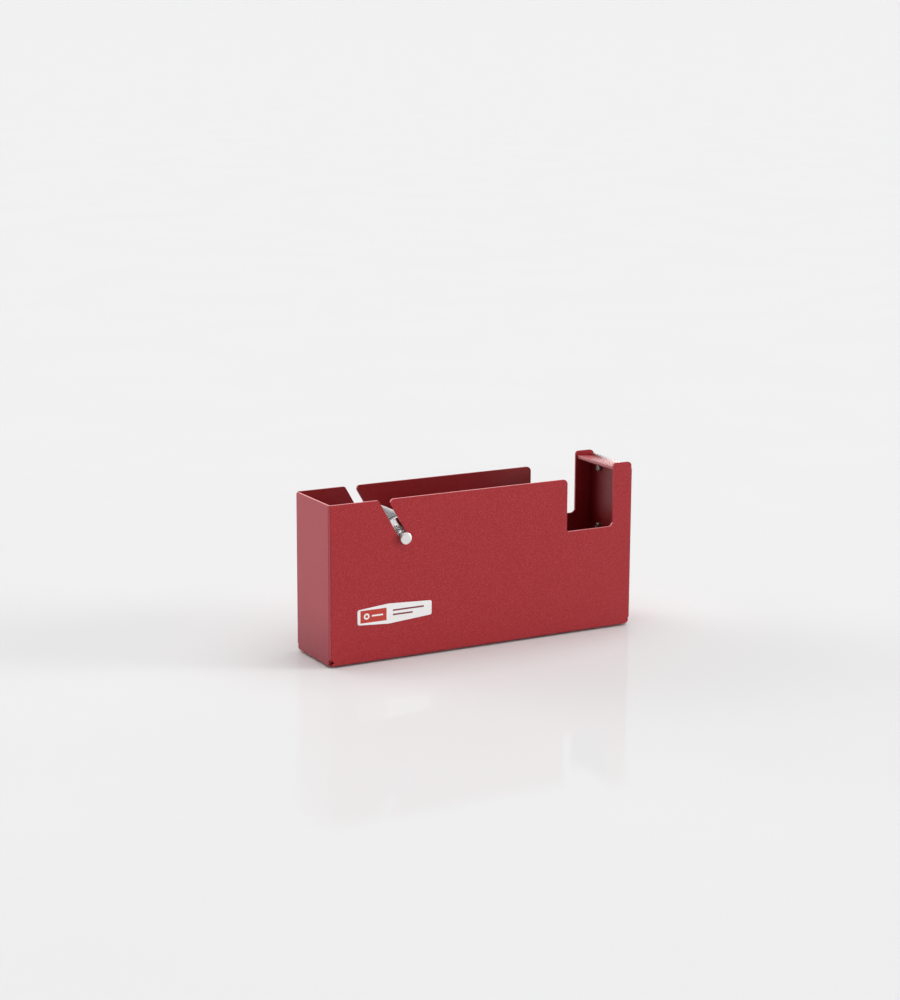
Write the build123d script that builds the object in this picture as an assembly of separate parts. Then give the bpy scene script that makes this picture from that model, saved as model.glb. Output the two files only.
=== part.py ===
from build123d import *
import os
import math

# Folded-steel bench tape dispenser.
# Frame: origin on the table under the middle of the body, +X along the body towards the
# cutter, +Y to the rear side panel, +Z up.  Millimetres.

# ---- driving dimensions ----
PAD_T = 1.0          # anti-slip pad thickness, also the height of the shell's underside
LENGTH = 211.0       # body length over the end walls
WIDTH = 45.4         # body width over the side panels
SHEET = 1.2          # shell sheet thickness
WALL_TOP = 98.9      # top of the side panels and of the left end wall
EAR_TOP = 105.7      # top of the two ears beside the cutter
NOTCH_X0 = 57.8      # finger notch, left side
NOTCH_X1 = 91.2      # finger notch, right side
NOTCH_Z = 65.7       # finger notch, bottom
END_WALL_TOP = 101.0  # top of the end wall between the ears
BEND_V = 1.5         # outer radius of the vertical corners
BEND_B = 1.6         # outer radius of the bottom bends

SEAT_X, SEAT_Z = -55.7, 74.55    # spindle axis at rest
SLOT_W = 5.6         # spindle slot width
SLOT_TILT = 30.0     # degrees from vertical, mouth leans to -X

DRUM_R = 12.7        # fits a 1 inch (25.4 mm) tape core
DRUM_HALF = 19.2     # half the drum length
ROD_R = 2.6
KNOB_R = 3.7

BLADE_T = 0.5
BRACKET_T = 1.2
PLATE_T = 1.0
TEETH = 13           # saw teeth along the blade
TOOTH_H = 1.6
BLADE_TIP = 103.8

RIVET_DY = 11.0      # rivet rows, half spacing across the body
RIVET_Z = (58.2, 95.8)

os.makedirs("parts", exist_ok=True)


def save(shape, name):
    shape.label = name
    export_step(shape, "parts/" + name + ".step")


def ycyl(r, y0, y1, x=0.0, z=0.0):
    """Cylinder along Y from y0 to y1."""
    return Pos(x, (y0 + y1) / 2, z) * Rot(90, 0, 0) * Cylinder(r, abs(y1 - y0))


def xcyl(r, x0, x1, y=0.0, z=0.0):
    """Cylinder along X from x0 to x1."""
    return Pos((x0 + x1) / 2, y, z) * Rot(0, 90, 0) * Cylinder(r, abs(x1 - x0))


def block(x0, x1, y0, y1, z0, z1):
    return Pos((x0 + x1) / 2, (y0 + y1) / 2, (z0 + z1) / 2) * Box(x1 - x0, y1 - y0, z1 - z0)


XL, XR = -LENGTH / 2, LENGTH / 2
YF, YB = -WIDTH / 2, WIDTH / 2
INNER_Y = WIDTH / 2 - SHEET


# ---- body shell: one folded and corner-welded sheet ----
def tub(l, w, z0, z1, rv, rb):
    b = block(-l / 2, l / 2, -w / 2, w / 2, z0, z1)
    b = fillet(b.edges().filter_by(Axis.Z), rv)
    return fillet(b.faces().sort_by(Axis.Z)[0].edges(), rb)


outer = tub(LENGTH, WIDTH, PAD_T, EAR_TOP + 1.0, BEND_V, BEND_B)
inner = tub(LENGTH - 2 * SHEET, WIDTH - 2 * SHEET, PAD_T + SHEET, EAR_TOP + 5.0,
            BEND_V - SHEET, BEND_B - SHEET)
shell = outer - inner

# side outline in XZ with its rounded corners; the ears stop just short of the end wall's face
EAR_X1 = XR - 1.0
pts = [(XL - 5, PAD_T - 5), (XL - 5, WALL_TOP), (NOTCH_X0, WALL_TOP), (NOTCH_X0, NOTCH_Z),
       (NOTCH_X1, NOTCH_Z), (NOTCH_X1, EAR_TOP), (EAR_X1, EAR_TOP), (EAR_X1, END_WALL_TOP), (XR + 5, END_WALL_TOP),
       (XR + 5, PAD_T - 5)]
corner = {2: 3.0, 3: 1.4, 4: 2.8, 5: 2.0, 6: 2.7}
up = (-math.sin(math.radians(SLOT_TILT)), math.cos(math.radians(SLOT_TILT)))
side = (up[1], -up[0])


def slot_pt(a, b):
    return (SEAT_X + a * side[0] + b * up[0], SEAT_Z + a * side[1] + b * up[1])


def at_height(a, z):
    b = (z - SEAT_Z - a * side[1]) / up[1]
    return slot_pt(a, b)


# slot walls with rounded mouth corners, written as one outline with the panel's top edge
h = SLOT_W / 2
left_mouth = at_height(-h, WALL_TOP)
right_mouth = at_height(h, WALL_TOP)


def mouth_arc(c, away, r):
    """Tangent points and middle of a mouth corner at c: along the top edge by away, down the slot."""
    e1 = (away, 0.0)
    e2 = (-up[0], -up[1])
    half = math.acos(e1[0] * e2[0] + e1[1] * e2[1]) / 2
    d = r / math.tan(half)
    p1 = (c[0] + e1[0] * d, c[1] + e1[1] * d)
    p2 = (c[0] + e2[0] * d, c[1] + e2[1] * d)
    bis = (e1[0] + e2[0], e1[1] + e2[1])
    n = math.hypot(*bis)
    cc = (c[0] + bis[0] / n * r / math.sin(half), c[1] + bis[1] / n * r / math.sin(half))
    m = (cc[0] - bis[0] / n * r, cc[1] - bis[1] / n * r)
    return p1, m, p2


la = mouth_arc(left_mouth, -1.0, 1.6)
ra = mouth_arc(right_mouth, 1.0, 2.2)
seat_l, seat_b, seat_r = slot_pt(-h, 0), slot_pt(0, -h), slot_pt(h, 0)

wires = [
    Line(pts[0], pts[1]), Line(pts[1], la[0]), ThreePointArc(la[0], la[1], la[2]),
    Line(la[2], seat_l), ThreePointArc(seat_l, seat_b, seat_r), Line(seat_r, ra[2]),
    ThreePointArc(ra[2], ra[1], ra[0]), Line(ra[0], pts[2]),
]
for i in range(2, len(pts)):
    wires.append(Line(pts[i], pts[(i + 1) % len(pts)]))
outline = make_face(Wire(wires))
for i, r in corner.items():
    v = [q for q in outline.vertices() if abs(q.X - pts[i][0]) < 0.01 and abs(q.Y - pts[i][1]) < 0.01]
    outline = fillet(v, r)
outline_solid = extrude(Plane.XZ * outline, amount=WIDTH, both=True)
shell = shell & outline_solid

# the end wall stops below the cutter, between the ears
shell -= block(XR - SHEET - BEND_V, XR + 2, YF + BEND_V, YB - BEND_V, END_WALL_TOP, EAR_TOP + 3)

# corner reliefs where the vertical and bottom bends meet
RELIEF_Z = PAD_T + 4.35
for sx in (-1, 1):
    for sy in (-1, 1):
        # panel corners set in 1.0 mm and rounded off at the bottom, in both faces of the corner
        cx, cy = sx * LENGTH / 2, sy * WIDTH / 2
        r = 3.3
        a = block(min(cx + sx, cx - sx * (1.0 + r)), max(cx + sx, cx - sx * (1.0 + r)),
                  min(cy + sy, cy - sy * 1.9), max(cy + sy, cy - sy * 1.9), PAD_T - 1, RELIEF_Z)
        a -= ycyl(r, cy - 3, cy + 3, cx - sx * (1.0 + r), PAD_T + r)
        a -= block(min(cx - sx * (1.0 + r), cx - sx * 30), max(cx - sx * (1.0 + r), cx - sx * 30),
                   cy - 5, cy + 5, PAD_T - 2, RELIEF_Z + 1)
        a -= block(min(cx - sx * 1.0, cx - sx * 10), max(cx - sx * 1.0, cx - sx * 10),
                   cy - 5, cy + 5, PAD_T + r, RELIEF_Z + 1)
        b = block(min(cx + sx, cx - sx * 1.9), max(cx + sx, cx - sx * 1.9),
                  min(cy + sy, cy - sy * (1.0 + r)), max(cy + sy, cy - sy * (1.0 + r)), PAD_T - 1, RELIEF_Z)
        b -= xcyl(r, cx - 3, cx + 3, cy - sy * (1.0 + r), PAD_T + r)
        b -= block(cx - 5, cx + 5, min(cy - sy * 1.0, cy - sy * 10), max(cy - sy * 1.0, cy - sy * 10),
                   PAD_T + r, RELIEF_Z + 1)
        shell = shell - a - b
        # relief hole at the end of the seam
        shell -= ycyl(0.8, cy - 2.5, cy + 2.5, cx - sx * 2.1, PAD_T + 2.5)

# far left corner: the seam between the left wall and the rear panel is ground round at the top
r = 2.2
t1 = block(XL - 1, XL + 1.0 + 4, YB - r, YB + 1, WALL_TOP - r, WALL_TOP + 1)
t1 -= xcyl(r, XL - 3, XL + 8, YB - r, WALL_TOP - r)
t2 = block(XL - 1, XL + r, YB - SHEET - 1, YB + 1, WALL_TOP - r, WALL_TOP + 1)
t2 -= ycyl(r, YB - 5, YB + 5, XL + r, WALL_TOP - r)
shell -= t1 & block(XL - 1, XL + BEND_V, YB - r - 1, YB + 2, WALL_TOP - 5, WALL_TOP + 2)
shell -= t2

# countersunk screw holes in the base
SCREW_X = 62.0
for sx in (-1, 1):
    shell -= Pos(sx * SCREW_X, 0, PAD_T + SHEET / 2) * Cylinder(2.15, SHEET + 2)
# rivet holes in the end wall
for z in RIVET_Z:
    for sy in (-1, 1):
        shell -= xcyl(1.65, XR - 3, XR + 1, sy * RIVET_DY, z)


shell = shell.solids().sort_by(SortBy.VOLUME)[-1] if len(shell.solids()) > 1 else shell
save(shell, "body_shell")

# ---- cutter: blade plate, support bracket, landing plate ----
XI = XR - SHEET                      # inner face of the end wall
HALF_B = INNER_Y - 0.65              # half width of what fits between the panels

# blade plate, clamped on the end wall's inner face
blade_pts = [(-HALF_B, 51.0), (HALF_B, 51.0), (HALF_B, BLADE_TIP - TOOTH_H)]
pitch = 2 * HALF_B / TEETH
for i in range(TEETH):
    y = HALF_B - i * pitch
    blade_pts.append((y - 0.5 * pitch, BLADE_TIP))
    blade_pts.append((y - pitch, BLADE_TIP - TOOTH_H))
blade_face = make_face(Polyline(*blade_pts, close=True))
blade = extrude(Plane(origin=(XI - BLADE_T, 0, 0), x_dir=(0, 1, 0), z_dir=(1, 0, 0)) * blade_face, amount=BLADE_T)
for z in RIVET_Z:
    for sy in (-1, 1):
        blade -= xcyl(1.65, XI - 2, XI + 1, sy * RIVET_DY, z)
save(blade, "cutter_blade")

# landing surface: falls gently to the blade
SHELF_IN, SHELF_IN_Z = 92.2, 103.15
SHELF_OUT_Z = 101.95
XB = XI - BLADE_T                    # inner face of the blade plate
slope = math.atan2(SHELF_IN_Z - SHELF_OUT_Z, XB - SHELF_IN)


def down(p, d):
    """Point p moved d below the sloped landing surface, square to it."""
    return (p[0] - d * math.sin(slope), p[1] - d * math.cos(slope))


# plain plate laid on the bracket's shelf
p_in = (SHELF_IN, SHELF_IN_Z)
p_out = (XB - 0.05, SHELF_IN_Z - (XB - 0.05 - SHELF_IN) * math.tan(slope))
plate_pts = [p_in, p_out, down(p_out, PLATE_T), down(p_in, PLATE_T)]
plate_face = make_face(Polyline(*plate_pts, close=True))
plate = extrude(Plane.XZ * plate_face, amount=HALF_B, both=True)
plate = fillet([e for e in plate.edges().filter_by(Axis.Y) if e.center().X < SHELF_IN + 0.5], 0.35)
save(plate, "landing_plate")

# support bracket: leg on the blade plate, shelf under the landing plate
q_in = down(p_in, PLATE_T)
b_top_out = (XB, q_in[1] - (XB - q_in[0]) * math.tan(slope))
k = down(q_in, BRACKET_T)
inner_x = XB - BRACKET_T
z_under = k[1] - (inner_x - k[0]) * math.tan(slope)
bracket_pts = [(XB, 51.0), b_top_out, q_in, k, (inner_x, z_under), (inner_x, 51.0)]
bracket_face = make_face(Polyline(*bracket_pts, close=True))
vo = [v for v in bracket_face.vertices() if abs(v.X - XB) < 0.01 and abs(v.Y - b_top_out[1]) < 0.01]
bracket_face = fillet(vo, 1.7)
vi = [v for v in bracket_face.vertices() if abs(v.X - inner_x) < 0.01 and abs(v.Y - z_under) < 0.01]
bracket_face = fillet(vi, 0.5)
bracket = extrude(Plane.XZ * bracket_face, amount=HALF_B, both=True)
bracket = fillet([e for e in bracket.edges().filter_by(Axis.Y) if e.center().X < SHELF_IN + 0.5], 0.35)
for z in RIVET_Z:
    for sy in (-1, 1):
        bracket -= xcyl(1.65, XI - 5, XI + 1, sy * RIVET_DY, z)
save(bracket, "cutter_bracket")

# pop rivets: domed flange outside, hollow mushroomed tail inside
TAIL_X = XI - BLADE_T - BRACKET_T
rivets = []
for z in RIVET_Z:
    for sy in (-1, 1):
        prof = [(XR + 1.0, 0.0), (XR + 0.95, 1.6), (XR + 0.45, 3.0), (XR, 3.2), (XR, 1.6),
                (TAIL_X, 1.6), (TAIL_X, 1.95), (TAIL_X - 0.4, 2.15), (TAIL_X - 1.3, 2.1),
                (TAIL_X - 1.8, 1.8), (TAIL_X - 1.95, 1.45), (TAIL_X - 1.9, 1.1),
                (TAIL_X - 1.2, 1.0), (TAIL_X - 0.9, 0.0)]
        face = make_face(Polyline(*prof, close=True))
        solid = revolve(Plane.XY * face, axis=Axis.X, revolution_arc=360)
        rivets.append(Pos(0, sy * RIVET_DY, z) * solid)
save(Compound(children=[r for r in rivets]), "bracket_rivets")

# ---- ballast and pad ----
BALLAST_L, BALLAST_W, BALLAST_T = 190.0, 40.0, 3.0
ballast = block(-BALLAST_L / 2 - 2, BALLAST_L / 2 - 2, -BALLAST_W / 2, BALLAST_W / 2,
                PAD_T + SHEET, PAD_T + SHEET + BALLAST_T)
ballast = fillet(ballast.edges().filter_by(Axis.Z), 3.0)
ballast = chamfer([e for e in ballast.edges() if e.center().Z > PAD_T + SHEET + BALLAST_T - 0.01], 0.4)
for sx in (-1, 1):
    ballast -= Pos(sx * SCREW_X, 0, PAD_T + SHEET + BALLAST_T / 2) * Cylinder(2.0, BALLAST_T + 2)
save(ballast, "ballast_plate")

screws = []
for sx in (-1, 1):
    shank = Pos(sx * SCREW_X, 0, PAD_T + (SHEET + 3.4) / 2) * Cylinder(2.0, SHEET + 3.4)
    shank = chamfer([e for e in shank.edges() if e.center().Z > PAD_T + SHEET + 3.0], 0.4)
    head = Pos(sx * SCREW_X, 0, PAD_T - 0.35) * Cylinder(3.6, 0.7)
    s = shank + head
    s -= Pos(sx * SCREW_X, 0, PAD_T - 0.7) * extrude(RegularPolygon(1.25, 6), amount=1.2)
    screws.append(s)
save(Compound(children=screws), "ballast_screws")

pad = block(-99.0, 99.0, -18.5, 18.5, 0, PAD_T)
pad = fillet(pad.edges().filter_by(Axis.Z), 4.0)
for sx in (-1, 1):
    pad -= Pos(sx * SCREW_X, 0, PAD_T / 2) * Cylinder(4.0, PAD_T + 2)
save(pad, "anti_slip_pad")

# ---- sticker on the front panel: six sides, tallest at the end of its coloured field ----
LABEL_T = 0.15
LABEL_X0, LABEL_X1, LABEL_XP, LABEL_Z = -87.15, -37.3, -66.5, 29.3
label_pts = [(LABEL_X0, LABEL_Z + 4.4), (LABEL_XP, LABEL_Z + 6.2), (LABEL_X1, LABEL_Z + 4.7),
             (LABEL_X1, LABEL_Z - 4.1), (LABEL_XP, LABEL_Z - 6.2), (LABEL_X0, LABEL_Z - 4.8)]
label_face = make_face(Polyline(*label_pts, close=True))
for i, (px, pz) in enumerate(label_pts):
    v = [q for q in label_face.vertices() if abs(q.X - px) < 0.01 and abs(q.Y - pz) < 0.01]
    label_face = fillet(v, 8.0 if px == LABEL_XP else 1.3)
label = extrude(Plane(origin=(0, YF, 0), x_dir=(1, 0, 0), z_dir=(0, -1, 0)) * label_face, amount=LABEL_T)
save(label, "front_label")

# ---- spindle: rod, knobs, collars, thrust washers ----
def spun(profile, name=None):
    """Solid of revolution about the spindle axis; profile is (y, r) pairs."""
    f = make_face(Polyline(*[(r, y) for y, r in profile], close=True))
    s = revolve(Plane.XY * f, axis=Axis.Y, revolution_arc=360)
    return Pos(SEAT_X, 0, SEAT_Z) * s


NECK_END = 23.1      # knob inner face
KNOB_END = 25.5      # knob outer face
rod = spun([(-NECK_END - 1.7, 0), (-NECK_END - 1.7, 1.7), (-NECK_END - 1.4, 2.0), (-NECK_END, 2.0),
            (-NECK_END, ROD_R), (NECK_END, ROD_R), (NECK_END, 2.0), (NECK_END + 1.4, 2.0),
            (NECK_END + 1.7, 1.7), (NECK_END + 1.7, 0)])
save(rod, "axle_rod")
for sgn, nm in ((-1, "front_knob"), (1, "rear_knob")):
    knob = spun([(sgn * NECK_END, 2.0), (sgn * NECK_END, KNOB_R - 0.3), (sgn * (NECK_END + 0.3), KNOB_R),
                 (sgn * (KNOB_END - 0.5), KNOB_R), (sgn * (KNOB_END - 0.15), KNOB_R - 0.2),
                 (sgn * KNOB_END, KNOB_R - 0.6), (sgn * KNOB_END, 0), (sgn * (NECK_END + 1.9), 0),
                 (sgn * (NECK_END + 1.9), 2.0)])
    save(knob, nm)
C0, C1, C2 = 19.85, 20.5, 21.2
for sgn, nm in ((-1, "front_collar"), (1, "rear_collar")):
    collar = spun([(sgn * C0, ROD_R), (sgn * C0, 4.75), (sgn * (C0 + 0.15), 4.9), (sgn * (C1 - 0.15), 4.9),
                   (sgn * C1, 4.75), (sgn * C1, 3.9), (sgn * (C2 - 0.15), 3.9), (sgn * C2, 3.75), (sgn * C2, ROD_R)])
    save(collar, nm)
washers = []
for sgn in (-1, 1):
    washers.append(spun([(sgn * (C0 - 0.3), ROD_R), (sgn * (C0 - 0.3), 4.6), (sgn * C0, 4.6), (sgn * C0, ROD_R)]))
save(Compound(children=washers), "thrust_washers")

# ---- drum: knurled sleeve, two flanged end caps, two bushes ----
CAP_F = 2.6          # thickness of the cap's flange, flush with the sleeve
SLEEVE_END = DRUM_HALF - CAP_F
GROOVE = 0.9         # depth of the groove between the knurl and the cap
sleeve = spun([(-SLEEVE_END, 10.9), (-SLEEVE_END, DRUM_R - GROOVE), (-SLEEVE_END + 0.8, DRUM_R - GROOVE),
               (-SLEEVE_END + 1.0, DRUM_R), (SLEEVE_END - 1.0, DRUM_R), (SLEEVE_END - 0.8, DRUM_R - GROOVE),
               (SLEEVE_END, DRUM_R - GROOVE), (SLEEVE_END, 10.9)])
save(sleeve, "drum_sleeve")
for sgn, nm in ((-1, "front_cap"), (1, "rear_cap")):
    cap = spun([(sgn * (SLEEVE_END - 4.0), 4.6), (sgn * (SLEEVE_END - 4.0), 10.6),
                (sgn * (SLEEVE_END - 3.7), 10.9), (sgn * SLEEVE_END, 10.9),
                (sgn * SLEEVE_END, DRUM_R - 0.4), (sgn * (SLEEVE_END + 0.2), DRUM_R - 0.2),
                (sgn * (DRUM_HALF - 0.5), DRUM_R - 0.2), (sgn * DRUM_HALF, DRUM_R - 0.7),
                (sgn * DRUM_HALF, 4.6)])
    save(cap, nm)
for sgn, nm in ((-1, "front_bush"), (1, "rear_bush")):
    bush = spun([(sgn * (SLEEVE_END - 4.6), ROD_R + 0.05), (sgn * (SLEEVE_END - 4.6), 4.4),
                 (sgn * (SLEEVE_END - 4.4), 4.6), (sgn * DRUM_HALF, 4.6), (sgn * DRUM_HALF, 5.6),
                 (sgn * (DRUM_HALF + 0.2), 5.6), (sgn * (DRUM_HALF + 0.3), 5.5),
                 (sgn * (DRUM_HALF + 0.3), ROD_R + 0.05)])
    save(bush, nm)
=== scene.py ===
import math

import bmesh
import bpy
from mathutils import Matrix, Vector


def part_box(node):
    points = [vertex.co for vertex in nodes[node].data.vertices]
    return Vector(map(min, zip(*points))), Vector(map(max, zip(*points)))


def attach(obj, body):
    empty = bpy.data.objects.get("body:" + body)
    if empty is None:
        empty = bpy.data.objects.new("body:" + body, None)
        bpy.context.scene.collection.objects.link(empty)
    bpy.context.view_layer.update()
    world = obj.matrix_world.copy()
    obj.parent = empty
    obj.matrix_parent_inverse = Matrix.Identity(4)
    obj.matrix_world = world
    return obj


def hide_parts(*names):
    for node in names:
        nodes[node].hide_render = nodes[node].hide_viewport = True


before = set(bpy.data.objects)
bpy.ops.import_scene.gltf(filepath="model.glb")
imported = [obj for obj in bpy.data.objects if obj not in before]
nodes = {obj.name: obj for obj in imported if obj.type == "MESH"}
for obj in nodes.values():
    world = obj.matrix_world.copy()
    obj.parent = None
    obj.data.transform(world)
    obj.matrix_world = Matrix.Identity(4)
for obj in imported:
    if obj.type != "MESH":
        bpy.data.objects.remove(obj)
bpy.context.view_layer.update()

sc = bpy.context.scene
sc.view_settings.view_transform = "Standard"
sc.view_settings.look = "None"
sc.view_settings.exposure = 0.0
sc.view_settings.gamma = 1.0
coll = sc.collection

MM = 0.001

# ------------------------------------------------------------------ camera
cam_data = bpy.data.cameras.new("view_camera")
cam = bpy.data.objects.new("view_camera", cam_data)
coll.objects.link(cam)
rot = Matrix(((0.8755383, 0.0998946, -0.4727091),
              (-0.4831260, 0.1905260, -0.8545695),
              (0.0046964, 0.9765863, 0.2150744)))
cam.matrix_world = Matrix.Translation((-0.681675, -1.210045, 0.393151)) @ rot.to_4x4()
cam_data.sensor_fit = "AUTO"
cam_data.sensor_width = 36.0
cam_data.lens = 83.563
cam_data.clip_start = 0.01
cam_data.clip_end = 100.0
cam_data.dof.use_dof = False
sc.camera = cam


# ------------------------------------------------------------------ node helpers
def new_mat(name):
    m = bpy.data.materials.new(name)
    m.use_nodes = True
    nt = m.node_tree
    nt.nodes.clear()
    out = nt.nodes.new("ShaderNodeOutputMaterial")
    bsdf = nt.nodes.new("ShaderNodeBsdfPrincipled")
    nt.links.new(bsdf.outputs["BSDF"], out.inputs["Surface"])
    return m, nt, bsdf


def node(nt, kind, **props):
    n = nt.nodes.new(kind)
    for k, v in props.items():
        if k in n.inputs.keys():
            n.inputs[k].default_value = v
        else:
            setattr(n, k, v)
    return n


def noise(nt, vec, scale, detail=2.0, rough=0.5, dist=0.0):
    n = nt.nodes.new("ShaderNodeTexNoise")
    n.inputs["Scale"].default_value = scale
    n.inputs["Detail"].default_value = detail
    n.inputs["Roughness"].default_value = rough
    n.inputs["Distortion"].default_value = dist
    if vec is not None:
        nt.links.new(vec, n.inputs["Vector"])
    return n.outputs["Fac"]


def ramp(nt, fac, stops):
    n = nt.nodes.new("ShaderNodeValToRGB")
    el = n.color_ramp.elements
    while len(el) < len(stops):
        el.new(0.5)
    for e, (p, c) in zip(el, stops):
        e.position = p
        e.color = c if len(c) == 4 else (*c, 1.0)
    nt.links.new(fac, n.inputs["Fac"])
    return n.outputs["Color"]


def maprange(nt, val, a, b, c, d, smooth=False):
    n = nt.nodes.new("ShaderNodeMapRange")
    n.interpolation_type = "SMOOTHSTEP" if smooth else "LINEAR"
    n.inputs["From Min"].default_value = a
    n.inputs["From Max"].default_value = b
    n.inputs["To Min"].default_value = c
    n.inputs["To Max"].default_value = d
    nt.links.new(val, n.inputs["Value"])
    return n.outputs["Result"]


def math_(nt, op, a, b=None, c=None):
    n = nt.nodes.new("ShaderNodeMath")
    n.operation = op
    for i, v in enumerate((a, b, c)):
        if v is None:
            continue
        if isinstance(v, (int, float)):
            n.inputs[i].default_value = v
        else:
            nt.links.new(v, n.inputs[i])
    return n.outputs["Value"]


def mixc(nt, fac, a, b, mode="MIX"):
    n = nt.nodes.new("ShaderNodeMix")
    n.data_type = "RGBA"
    n.blend_type = mode
    for sock, v in (("Factor", fac), ("A", a), ("B", b)):
        s = [q for q in n.inputs if q.name == sock and q.type in (("RGBA",) if sock != "Factor" else ("VALUE",))][0]
        if isinstance(v, (int, float)):
            s.default_value = v
        elif isinstance(v, (tuple, list)):
            s.default_value = (*v, 1.0) if len(v) == 3 else v
        else:
            nt.links.new(v, s)
    return [q for q in n.outputs if q.type == "RGBA"][0]


def coords(nt):
    return nt.nodes.new("ShaderNodeTexCoord").outputs["Object"]


def sep(nt, vec):
    n = nt.nodes.new("ShaderNodeSeparateXYZ")
    nt.links.new(vec, n.inputs[0])
    return n.outputs["X"], n.outputs["Y"], n.outputs["Z"]


def bump(nt, height, dist, strength=1.0, normal=None):
    n = nt.nodes.new("ShaderNodeBump")
    n.inputs["Strength"].default_value = strength
    n.inputs["Distance"].default_value = dist
    nt.links.new(height, n.inputs["Height"])
    if normal is not None:
        nt.links.new(normal, n.inputs["Normal"])
    return n.outputs["Normal"]


def edge_mask(nt, radius, a=0.02, b=0.35):
    """1 on outer edges, from how far the rounded normal leans from the true one; used both for rubbed edges and for
    painted edge shade.
    """
    bev = nt.nodes.new("ShaderNodeBevel")
    bev.samples = 4
    bev.inputs["Radius"].default_value = radius
    geo = nt.nodes.new("ShaderNodeNewGeometry")
    dot = nt.nodes.new("ShaderNodeVectorMath")
    dot.operation = "DOT_PRODUCT"
    nt.links.new(bev.outputs["Normal"], dot.inputs[0])
    nt.links.new(geo.outputs["True Normal"], dot.inputs[1])
    inv = math_(nt, "SUBTRACT", 1.0, dot.outputs["Value"])
    return maprange(nt, inv, a, b, 0.0, 1.0, True)


# ------------------------------------------------------------------ materials
_l, _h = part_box("body_shell")
INNER_X = (_h.x - _l.x) / 2 - 0.0012          # inner faces of the folded sheet
INNER_Y = (_h.y - _l.y) / 2 - 0.0012


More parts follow.
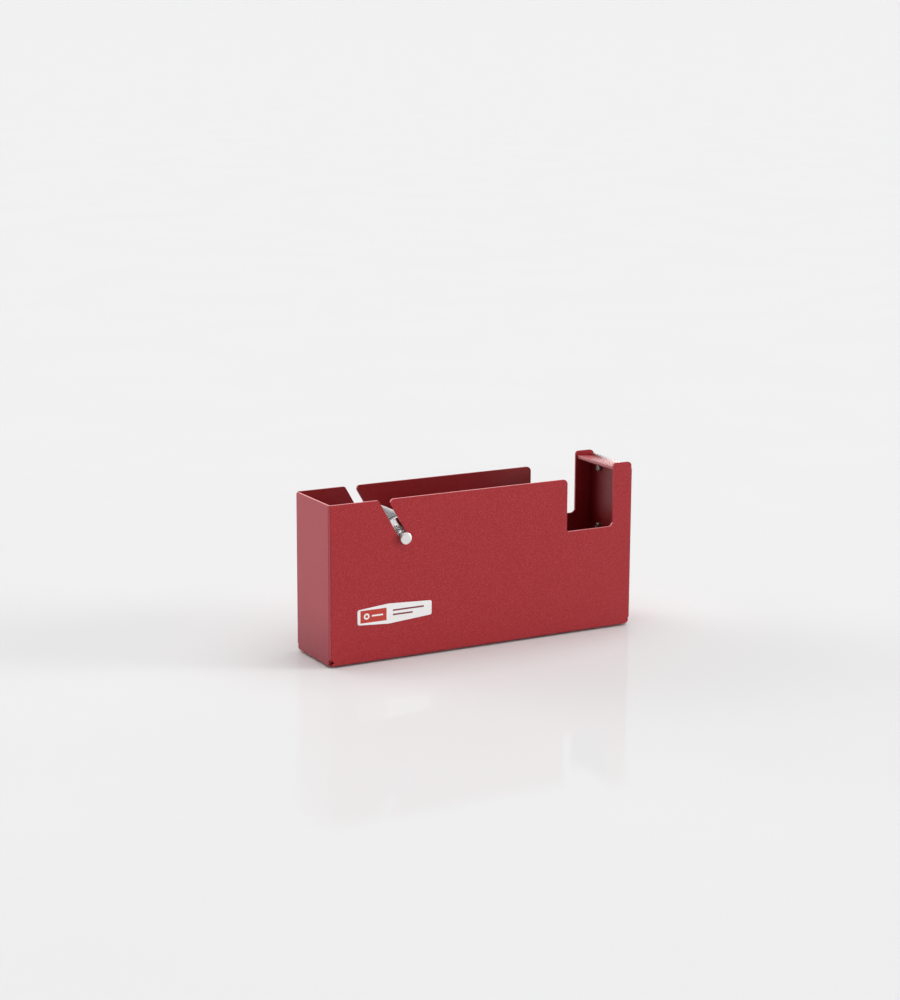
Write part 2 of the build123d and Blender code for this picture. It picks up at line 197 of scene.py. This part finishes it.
def paint_material(name, base=(0.405, 0.0145, 0.0195), inside=0.57, rough0=0.34, spec=0.36, pale=(0.95, 0.36, 0.37)):
    """Semi-gloss red powder coat: fine grain with pale and dark flecks, painted shade inside the body, a painted sheen
    and painted shade on the left wall, and on the edges a light random rub plus painted highlights and painted shade.
    """
    m, nt, b = new_mat(name)
    c = coords(nt)
    x, y, z = sep(nt, c)
    fleck = noise(nt, c, 2100.0, 2.0, 0.6)
    mott = noise(nt, c, 1050.0, 3.0, 0.65)
    cloud = noise(nt, c, 45.0, 2.0, 0.5)
    dark = tuple(v * 0.82 for v in base)
    light = (base[0] * 1.12, base[1] * 2.5, base[2] * 2.6)
    col = ramp(nt, mott, [(0.32, dark), (0.50, base), (0.68, light)])
    col = mixc(nt, maprange(nt, fleck, 0.56, 0.70, 0.0, 0.55), col, (base[0] * 1.16, base[1] * 3.6, base[2] * 3.8))
    col = mixc(nt, maprange(nt, cloud, 0.35, 0.7, 0.0, 0.12), col, tuple(v * 0.85 for v in base))
    # painted shade: inside the folded walls the coat is darker
    ax, ay = math_(nt, "ABSOLUTE", x), math_(nt, "ABSOLUTE", y)
    inside_shade = math_(nt, "MULTIPLY", maprange(nt, ax, INNER_X - 0.0001, INNER_X + 0.0003, 1.0, 0.0),
                maprange(nt, ay, INNER_Y - 0.0001, INNER_Y + 0.0003, 1.0, 0.0))
    inside_shade = math_(nt, "MULTIPLY", inside_shade, maprange(nt, z, 0.0015, 0.0021, 0.0, 1.0))
    inside_shade = math_(nt, "MULTIPLY", inside_shade, maprange(nt, z, 0.1012, 0.1026, 1.0, 0.25))
    col = mixc(nt, math_(nt, "MULTIPLY", inside_shade, 1.0), col, (base[0] * inside, base[1] * inside * 0.9, base[2] * inside * 0.85))
    # painted sheen: the left wall's coat is slightly paler and pinker; painted shade darkens it towards the bottom
    geo = nt.nodes.new("ShaderNodeNewGeometry")
    gx, gy, gz = sep(nt, geo.outputs["Normal"])
    left_wall_sheen_and_shade = math_(nt, "MULTIPLY", maprange(nt, gx, -0.98, -0.80, 1.0, 0.0, True), maprange(nt, x, -0.1050, -0.1046, 1.0, 0.0))
    col = mixc(nt, math_(nt, "MULTIPLY", left_wall_sheen_and_shade, 0.9), col, (base[0] * 0.95, base[1] * 2.2, base[2] * 2.5))
    # painted shade towards the bottom of the left wall
    col = mixc(nt, math_(nt, "MULTIPLY", left_wall_sheen_and_shade, maprange(nt, z, 0.003, 0.034, 0.75, 0.0)), col, (0.25, 0.010, 0.022))
    # edges: a light random rub on all of them; a pale painted highlight where they face up at the front; dark painted
    # shade where they face up further back or higher, and where bends turn away at the back and right
    wear = edge_mask(nt, 0.0006)
    wn = noise(nt, c, 300.0, 3.0, 0.6)
    upf = math_(nt, "MULTIPLY", maprange(nt, gz, 0.04, 0.30, 0.0, 1.0, True), maprange(nt, z, 0.030, 0.034, 0.0, 1.0))
    front = maprange(nt, y, 0.017, 0.0215, 1.0, 0.0)
    low = maprange(nt, z, 0.1000, 0.1035, 1.0, 0.0)
    f_up = math_(nt, "MULTIPLY", upf, maprange(nt, wn, 0.30, 0.62, 0.75, 1.0))
    f_painted_highlight = math_(nt, "MULTIPLY", math_(nt, "MULTIPLY", f_up, front), low)
    away = math_(nt, "MAXIMUM", maprange(nt, gx, 0.15, 0.6, 0.0, 1.0, True), maprange(nt, gy, 0.15, 0.6, 0.0, 1.0, True))
    bend = math_(nt, "MULTIPLY", away, maprange(nt, math_(nt, "MAXIMUM", math_(nt, "ABSOLUTE", gx), math_(nt, "ABSOLUTE", gy)), 0.93, 0.99, 1.0, 0.0))
    f_painted_shade = math_(nt, "MULTIPLY", math_(nt, "MULTIPLY", math_(nt, "SUBTRACT", 1.0, math_(nt, "MULTIPLY", front, low)), wear), f_up)
    f_painted_shade = math_(nt, "MAXIMUM", f_painted_shade, bend)
    wearf = math_(nt, "MULTIPLY", wear, maprange(nt, wn, 0.40, 0.62, 0.08, 0.30))
    col = mixc(nt, wearf, col, (base[0] * 1.4, base[1] * 4.0, base[2] * 4.0))
    # painted shade on the back edges and on bends turning away
    col = mixc(nt, math_(nt, "MULTIPLY", f_painted_shade, 0.75), col, (0.09, 0.006, 0.010))
    # painted highlight on the up-facing front edges
    col = mixc(nt, f_painted_highlight, col, pale)
    # painted highlight: a thin pale line on the front left bend
    corner = math_(nt, "MULTIPLY", math_(nt, "MULTIPLY", gx, gy), 2.0)
    f_painted_line_highlight = math_(nt, "MULTIPLY", maprange(nt, corner, 0.70, 0.97, 0.0, 1.0, True), math_(nt, "MULTIPLY", maprange(nt, gy, -0.5, -0.4, 1.0, 0.0), maprange(nt, math_(nt, "ABSOLUTE", gz), 0.1, 0.3, 1.0, 0.0)))
    col = mixc(nt, math_(nt, "MULTIPLY", f_painted_line_highlight, 0.45), col, (0.70, 0.18, 0.19))
    nt.links.new(col, b.inputs["Base Color"])
    rough = maprange(nt, mott, 0.3, 0.7, rough0, rough0 + 0.12)
    nt.links.new(rough, b.inputs["Roughness"])
    peel = noise(nt, c, 950.0, 2.0, 0.5)
    peel2 = noise(nt, c, 210.0, 1.0, 0.5)
    n1 = bump(nt, peel2, 0.00010, 0.5)
    nt.links.new(bump(nt, peel, 0.00005, 0.6, n1), b.inputs["Normal"])
    b.inputs["IOR"].default_value = 1.5
    b.inputs["Specular IOR Level"].default_value = spec
    return m


def metal_material(name, base, rough, kind="turned", axis="Y", centre=(0, 0, 0), amp=0.05, metallic=1.0, relief=0.35):
    """Machined or drawn metal. turned: fine concentric tool marks about an axis; drawn, or any other kind: fine lines
    along an axis.
    """
    m, nt, b = new_mat(name)
    c = coords(nt)
    sub = nt.nodes.new("ShaderNodeVectorMath")
    sub.operation = "SUBTRACT"
    nt.links.new(c, sub.inputs[0])
    sub.inputs[1].default_value = centre
    x, y, z = sep(nt, sub.outputs["Vector"])
    if kind == "turned":
        r2 = math_(nt, "ADD", math_(nt, "MULTIPLY", x, x), math_(nt, "MULTIPLY", z, z))
        r = math_(nt, "POWER", r2, 0.5)
        comb = nt.nodes.new("ShaderNodeCombineXYZ")
        nt.links.new(math_(nt, "MULTIPLY", r, 1.0), comb.inputs[0])
        nt.links.new(math_(nt, "MULTIPLY", y, 1.0), comb.inputs[1])
        lines = noise(nt, comb.outputs[0], 6500.0, 1.0, 0.5)
    else:
        comb = nt.nodes.new("ShaderNodeCombineXYZ")
        k = {"X": (0.02, 1, 1), "Y": (1, 0.02, 1), "Z": (1, 1, 0.02)}[axis]
        for i, (v, s) in enumerate(zip((x, y, z), k)):
            nt.links.new(math_(nt, "MULTIPLY", v, s), comb.inputs[i])
        lines = noise(nt, comb.outputs[0], 3500.0, 2.0, 0.6)
    blotch = noise(nt, c, 160.0, 3.0, 0.6)
    dark = tuple(v * 0.82 for v in base)
    col = mixc(nt, maprange(nt, blotch, 0.35, 0.7, 0.0, 0.8), base, dark)
    wear = edge_mask(nt, 0.0002)
    col = mixc(nt, math_(nt, "MULTIPLY", wear, 0.5), col, tuple(min(1.0, v * 1.25) for v in base))
    nt.links.new(col, b.inputs["Base Color"])
    rr = math_(nt, "ADD", maprange(nt, lines, 0.3, 0.7, rough - amp, rough + amp),
               maprange(nt, blotch, 0.3, 0.7, -0.04, 0.05))
    nt.links.new(rr, b.inputs["Roughness"])
    b.inputs["Metallic"].default_value = metallic
    nt.links.new(bump(nt, lines, 0.00002, relief), b.inputs["Normal"])
    return m


def plastic_material(name, base, rough, grain=900.0, depth=0.00004):
    m, nt, b = new_mat(name)
    c = coords(nt)
    g = noise(nt, c, grain, 3.0, 0.6)
    cl = noise(nt, c, 60.0, 2.0, 0.5)
    col = mixc(nt, maprange(nt, cl, 0.3, 0.7, 0.0, 1.0), base, tuple(v * 0.88 for v in base))
    nt.links.new(col, b.inputs["Base Color"])
    nt.links.new(maprange(nt, g, 0.3, 0.7, rough - 0.06, rough + 0.08), b.inputs["Roughness"])
    nt.links.new(bump(nt, g, depth, 0.6), b.inputs["Normal"])
    return m


SX, _, SZ = (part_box("front_knob")[0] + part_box("front_knob")[1]) / 2
paint = paint_material("red_powder_coat")
mats = {
    "body_shell": paint,
    # painted sheen: the landing plate's coat is a lighter, pinker copy of the red powder coat
    "landing_plate": paint_material("red_powder_coat_plate_painted_sheen", base=(0.47, 0.075, 0.085), inside=1.0, rough0=0.20, spec=0.75),
    "cutter_bracket": paint,
    "cutter_blade": metal_material("ground_stainless", (0.78, 0.76, 0.73), 0.34, "drawn", "Y"),
    "bracket_rivets": metal_material("dull_aluminium", (0.36, 0.34, 0.31), 0.34, "drawn", "X"),
    "ballast_plate": metal_material("oiled_steel", (0.16, 0.16, 0.165), 0.48, "drawn", "X"),
    "ballast_screws": metal_material("zinc_plate", (0.55, 0.56, 0.58), 0.35, "drawn", "Z"),
    "anti_slip_pad": plastic_material("black_rubber", (0.022, 0.022, 0.024), 0.75, 700.0, 0.0002),
    "axle_rod": metal_material("ground_rod", (0.56, 0.56, 0.57), 0.28, "turned", centre=(SX, 0, SZ)),
    "thrust_washers": plastic_material("natural_nylon", (0.70, 0.69, 0.64), 0.45),
    "drum_sleeve": metal_material("knurled_aluminium", (0.50, 0.50, 0.51), 0.30, "turned", centre=(SX, 0, SZ)),
}
knob_m = metal_material("turned_knob", (0.86, 0.85, 0.84), 0.40, "turned", centre=(SX, 0, SZ))
collar_m = metal_material("turned_collar", (0.80, 0.79, 0.79), 0.16, "turned", centre=(SX, 0, SZ))
cap_m = metal_material("turned_cap", (0.86, 0.85, 0.85), 0.15, "turned", centre=(SX, 0, SZ), relief=0.06)
bush_m = metal_material("ground_bush", (0.72, 0.71, 0.71), 0.18, "turned", centre=(SX, 0, SZ))
for a in ("front", "rear"):
    mats[a + "_knob"] = knob_m
    mats[a + "_collar"] = collar_m
    mats[a + "_cap"] = cap_m
    mats[a + "_bush"] = bush_m


def label_material():
    """White printed film with a rust-red field at its left, a small tape-ring sign and plain bars."""
    m, nt, b = new_mat("printed_film")
    l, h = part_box("front_label")
    c = coords(nt)
    x, y, z = sep(nt, c)
    w, t = (h.x - l.x), (h.z - l.z)
    u = maprange(nt, x, l.x, h.x, 0.0, w * 1000)
    v = maprange(nt, z, l.z, h.z, 0.0, t * 1000)

    def box_mask(u0, u1, v0, v1, e=0.06):
        a = maprange(nt, u, u0 - e, u0 + e, 0, 1, True)
        b_ = maprange(nt, u, u1 - e, u1 + e, 1, 0, True)
        c_ = maprange(nt, v, v0 - e, v0 + e, 0, 1, True)
        d = maprange(nt, v, v1 - e, v1 + e, 1, 0, True)
        return math_(nt, "MULTIPLY", math_(nt, "MULTIPLY", a, b_), math_(nt, "MULTIPLY", c_, d))

    def ring_mask(cu, cv, r0, r1, e=0.06):
        du, dv = math_(nt, "SUBTRACT", u, cu), math_(nt, "SUBTRACT", v, cv)
        r = math_(nt, "POWER", math_(nt, "ADD", math_(nt, "MULTIPLY", du, du), math_(nt, "MULTIPLY", dv, dv)), 0.5)
        a = maprange(nt, r, r0 - e, r0 + e, 0, 1, True)
        b_ = maprange(nt, r, r1 - e, r1 + e, 1, 0, True)
        return math_(nt, "MULTIPLY", a, b_)

    white, rust, ink = (0.97, 0.97, 0.97), (0.56, 0.028, 0.012), (0.22, 0.015, 0.02)
    cv = t * 500
    col = mixc(nt, box_mask(1.9, 19.4, cv - 3.9, cv + 3.8), white, rust)
    col = mixc(nt, ring_mask(6.1, cv, 0.9, 1.9), col, white)
    col = mixc(nt, box_mask(9.6, 17.0, cv - 0.5, cv + 0.5), col, white)
    for a0, a1, q in ((23.6, 44.6, 1.7), (23.6, 37.0, -1.0)):
        col = mixc(nt, box_mask(a0, a1, cv + q - 0.5, cv + q + 0.5), col, ink)
    fib = noise(nt, c, 1800.0, 2.0, 0.5)
    col = mixc(nt, maprange(nt, fib, 0.3, 0.7, 0.0, 0.05), col, (0.55, 0.54, 0.52))
    nt.links.new(col, b.inputs["Base Color"])
    nt.links.new(maprange(nt, fib, 0.3, 0.7, 0.32, 0.40), b.inputs["Roughness"])
    nt.links.new(bump(nt, fib, 0.00001, 0.5), b.inputs["Normal"])
    return m


mats["front_label"] = label_material()


# ------------------------------------------------------------------ CAD nodes: materials and edge rounding
def finish_cad(name, bevel=None, segments=3, angle=30.0):
    o = nodes[name]
    o.data.materials.clear()
    o.data.materials.append(mats[name])
    for p in o.data.polygons:
        p.material_index = 0
        p.use_smooth = True
    w = o.modifiers.new("weld", "WELD")
    w.merge_threshold = 1e-6
    if bevel:
        d = o.modifiers.new("planar", "DECIMATE")
        d.decimate_type = "DISSOLVE"
        d.angle_limit = math.radians(0.4)
        v = o.modifiers.new("rolled_edge", "BEVEL")
        v.width = bevel
        v.segments = segments
        v.limit_method = "ANGLE"
        v.angle_limit = math.radians(angle)
        v.use_clamp_overlap = True
        v.miter_outer = "MITER_ARC"
        v.harden_normals = False
    n = o.modifiers.new("weighted", "WEIGHTED_NORMAL")
    n.mode = "FACE_AREA"
    n.weight = 60
    n.keep_sharp = True
    return o


for nm in nodes:
    b = {"body_shell": 0.00038, "landing_plate": None, "cutter_bracket": None, "ballast_plate": None,
         "cutter_blade": None, "anti_slip_pad": 0.0003, "front_label": None}.get(nm)
    finish_cad(nm, b)


# ------------------------------------------------------------------ knurled sleeve
def knurl_material(cx, cz, R, depth):
    """Knurled aluminium: light diamond tips (painted highlight) and dark grey valleys (painted shade), graded by
    radius.
    """
    m, nt, b = new_mat("knurled_drum")
    c = coords(nt)
    x, y, z = sep(nt, c)
    dx, dz = math_(nt, "SUBTRACT", x, cx), math_(nt, "SUBTRACT", z, cz)
    r = math_(nt, "POWER", math_(nt, "ADD", math_(nt, "MULTIPLY", dx, dx), math_(nt, "MULTIPLY", dz, dz)), 0.5)
    tip = maprange(nt, r, R - depth, R - 0.00002, 0.0, 1.0)
    # painted shade in the valleys, painted highlight on the tips, graded by radius
    col = ramp(nt, tip, [(0.0, (0.04, 0.04, 0.041)), (0.35, (0.18, 0.18, 0.185)), (0.70, (0.58, 0.58, 0.59)), (1.0, (0.88, 0.87, 0.87))])
    g = noise(nt, c, 900.0, 3.0, 0.6)
    col = mixc(nt, maprange(nt, g, 0.35, 0.7, 0.0, 0.3), col, (0.25, 0.25, 0.255))
    nt.links.new(col, b.inputs["Base Color"])
    nt.links.new(maprange(nt, g, 0.3, 0.7, 0.26, 0.40), b.inputs["Roughness"])
    nt.links.new(bump(nt, g, 0.00002, 0.5), b.inputs["Normal"])
    b.inputs["Metallic"].default_value = 0.9
    return m


def knurled_sleeve():
    l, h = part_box("drum_sleeve")
    cx, cz = (l.x + h.x) / 2, (l.z + h.z) / 2
    y0, y1 = l.y, h.y
    R = (h.x - l.x) / 2
    N = 58                       # diamonds round the drum
    per = 8
    na = N * per
    pitch = 2 * math.pi * R / N
    land = 0.0010                # plain groove at each end
    g = 0.0009
    k0, k1 = y0 + land, y1 - land
    rows = int(round((k1 - k0) / pitch)) * per
    depth = 0.00042
    bm = bmesh.new()
    ys, kinds = [], []
    ring_defs = [(y0, "in"), (y0, "groove"), (y0 + 0.0008, "groove"), (y0 + 0.00095, "edge")]
    for i in range(rows + 1):
        ring_defs.append((k0 + (k1 - k0) * i / rows, "knurl"))
    ring_defs += [(y1 - 0.00095, "edge"), (y1 - 0.0008, "groove"), (y1, "groove"), (y1, "in")]
    rings = []
    for y, kind in ring_defs:
        ring = []
        for j in range(na):
            th = 2 * math.pi * j / na
            if kind == "in":
                r = 0.0109
            elif kind == "groove":
                r = R - g
            elif kind == "edge":
                r = R - depth * 0.9
            else:
                s = (y - k0) / pitch
                u = (j / per + s) % 1.0
                v = (j / per - s) % 1.0
                tu, tv = 1 - abs(2 * u - 1), 1 - abs(2 * v - 1)
                hgt = min(1.0, 1.25 * min(tu, tv))
                hgt = hgt * hgt * (3 - 2 * hgt) * 0.35 + hgt * 0.65
                fade = min(1.0, min(y - k0, k1 - y) / 0.0004 + 0.15)
                r = R - depth * (1 - hgt * fade)
            ring.append(bm.verts.new((cx + r * math.cos(th), y, cz + r * math.sin(th))))
        rings.append(ring)
    for a, b in zip(rings[:-1], rings[1:]):
        for j in range(na):
            k = (j + 1) % na
            bm.faces.new((a[j], b[j], b[k], a[k]))
    a, b = rings[-1], rings[0]
    for j in range(na):
        k = (j + 1) % na
        bm.faces.new((a[j], b[j], b[k], a[k]))
    bmesh.ops.recalc_face_normals(bm, faces=bm.faces)
    me = bpy.data.meshes.new("drum_knurl")
    bm.to_mesh(me)
    bm.free()
    o = bpy.data.objects.new("drum_knurl", me)
    coll.objects.link(o)
    me.materials.append(knurl_material(cx, cz, R, depth))
    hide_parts("drum_sleeve")
    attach(o, "drum")
    return o


knurled_sleeve()

# ------------------------------------------------------------------ floor, light
FLOOR_A, FLOOR_B, FLOOR_GLOSS, FLOOR_R = (0.80, 0.80, 0.803), (0.79, 0.79, 0.793), 0.07, 0.05


def floor():
    """Pale table with a faint, clear reflection."""
    bm = bmesh.new()
    S = 120.0
    bm.faces.new([bm.verts.new(p) for p in ((-S, -S, 0), (S, -S, 0), (S, S, 0), (-S, S, 0))])
    me = bpy.data.meshes.new("studio_floor")
    bm.to_mesh(me)
    bm.free()
    o = bpy.data.objects.new("studio_floor", me)
    coll.objects.link(o)
    m = bpy.data.materials.new("pale_floor")
    m.use_nodes = True
    nt = m.node_tree
    nt.nodes.clear()
    out = nt.nodes.new("ShaderNodeOutputMaterial")
    mix = nt.nodes.new("ShaderNodeMixShader")
    dif = nt.nodes.new("ShaderNodeBsdfDiffuse")
    glo = nt.nodes.new("ShaderNodeBsdfGlossy")
    c = coords(nt)
    f = noise(nt, c, 7.0, 2.0, 0.5)
    nt.links.new(mixc(nt, maprange(nt, f, 0.3, 0.7, 0, 1), FLOOR_A, FLOOR_B), dif.inputs["Color"])
    g = noise(nt, c, 60.0, 2.0, 0.5)
    nt.links.new(maprange(nt, g, 0.3, 0.7, FLOOR_R - 0.01, FLOOR_R + 0.015), glo.inputs["Roughness"])
    glo.inputs["Color"].default_value = (1, 1, 1, 1)
    mix.inputs["Fac"].default_value = FLOOR_GLOSS
    nt.links.new(dif.outputs[0], mix.inputs[1])
    nt.links.new(glo.outputs[0], mix.inputs[2])
    nt.links.new(mix.outputs[0], out.inputs["Surface"])
    me.materials.append(m)


floor()


def sun(name, toward, share, angle, color=(1, 1, 1)):
    """Far soft light. toward points from the object to the light; share is its part of a white floor's brightness when overhead."""
    d = bpy.data.lights.new(name, "SUN")
    d.energy = share * math.pi
    d.angle = math.radians(angle)
    d.color = color
    o = bpy.data.objects.new(name, d)
    coll.objects.link(o)
    v = Vector(toward).normalized()
    o.location = v * 2.0
    o.rotation_euler = (-v).to_track_quat("-Z", "Y").to_euler()
    return o


KEY, TOP = 0.50, 0.66
W_BASE, W_BACK, W_WINDOW = 0.20, 0.72, 3.0
sun("key_right_front", (0.87, -0.49, 0.20), KEY, 20.0, (1.0, 0.995, 0.985))
sun("top_soft", (0.10, -0.05, 1.0), TOP, 70.0)

w = bpy.data.worlds.new("studio")
sc.world = w
w.use_nodes = True
nt = w.node_tree
nt.nodes.clear()
out = nt.nodes.new("ShaderNodeOutputWorld")
bg = nt.nodes.new("ShaderNodeBackground")
d = nt.nodes.new("ShaderNodeTexCoord").outputs["Generated"]
dx, dy, dz = sep(nt, d)
wa = maprange(nt, dy, -0.2, 0.75, 0.0, 1.0, True)
we = maprange(nt, dz, 0.12, 0.75, 1.0, 0.0, True)
lum = math_(nt, "ADD", math_(nt, "MULTIPLY", math_(nt, "MULTIPLY", wa, we), W_BACK), W_BASE)
# window behind and to the left
dot = nt.nodes.new("ShaderNodeVectorMath")
dot.operation = "DOT_PRODUCT"
nt.links.new(d, dot.inputs[0])
dot.inputs[1].default_value = Vector((-0.60, 0.78, 0.16)).normalized()
win = maprange(nt, dot.outputs["Value"], 0.86, 0.97, 0.0, 1.0, True)
lum = math_(nt, "ADD", lum, math_(nt, "MULTIPLY", win, W_WINDOW))
nt.links.new(lum, bg.inputs["Strength"])
bg.inputs["Color"].default_value = (1.0, 1.0, 1.0, 1)
nt.links.new(bg.outputs[0], out.inputs["Surface"])
